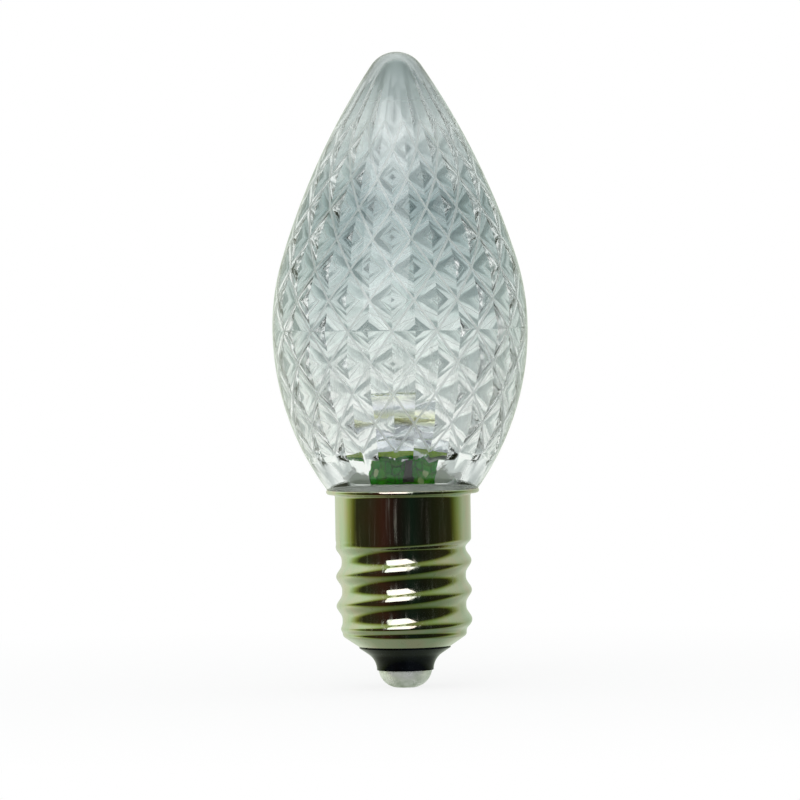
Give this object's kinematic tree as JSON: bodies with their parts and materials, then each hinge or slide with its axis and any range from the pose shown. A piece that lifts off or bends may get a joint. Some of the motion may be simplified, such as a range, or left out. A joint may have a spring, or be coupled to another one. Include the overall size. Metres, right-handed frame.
{
  "type": "christmas light bulb",
  "caption": "Clear pointed LED Christmas light bulb with diamond facets inside its lens and a candelabra screw base.",
  "frame": {"origin": "centre of the flat at the bottom of the tip contact, on the bulb's axis", "axes": "+Z along the bulb's axis from the tip contact to the lens tip, -Y towards the side seen in the picture, +X to its right"},
  "size_m": [0.022, 0.022, 0.0548],
  "materials": {
    "lens": "clear polished",
    "shell": "polished nickel plate",
    "insulator": "glossy",
    "contact": "satin tin",
    "led_board": "satin solder mask",
    "driver_board": "satin solder mask",
    "epoxy": "clear polished",
    "lead": "polished tin plate",
    "phosphor": "matte",
    "solder": "satin",
    "chip": "matte",
    "ceramic": "matte",
    "wire": "tinned"
  },
  "bodies": {
    "root": {"lens_upper": "lens", "lens_lower": "lens", "screw_shell": "shell", "insulator": "insulator", "tip_contact": "contact", "led_board": "led_board", "driver_board": "driver_board", "board_solder": "solder", "led_1": "epoxy", "led_1_cathode": "lead", "led_1_anode": "lead", "led_1_phosphor": "phosphor", "led_2": "epoxy", "led_2_cathode": "lead", "led_2_anode": "lead", "led_2_phosphor": "phosphor", "led_3": "epoxy", "led_3_cathode": "lead", "led_3_anode": "lead", "led_3_phosphor": "phosphor", "bridge_rectifier": "chip", "bridge_pins": "lead", "resistor_1": "chip", "resistor_2": "chip", "capacitor": "ceramic", "contact_lead": "wire", "shell_lead": "wire"}
  },
  "joints": []
}
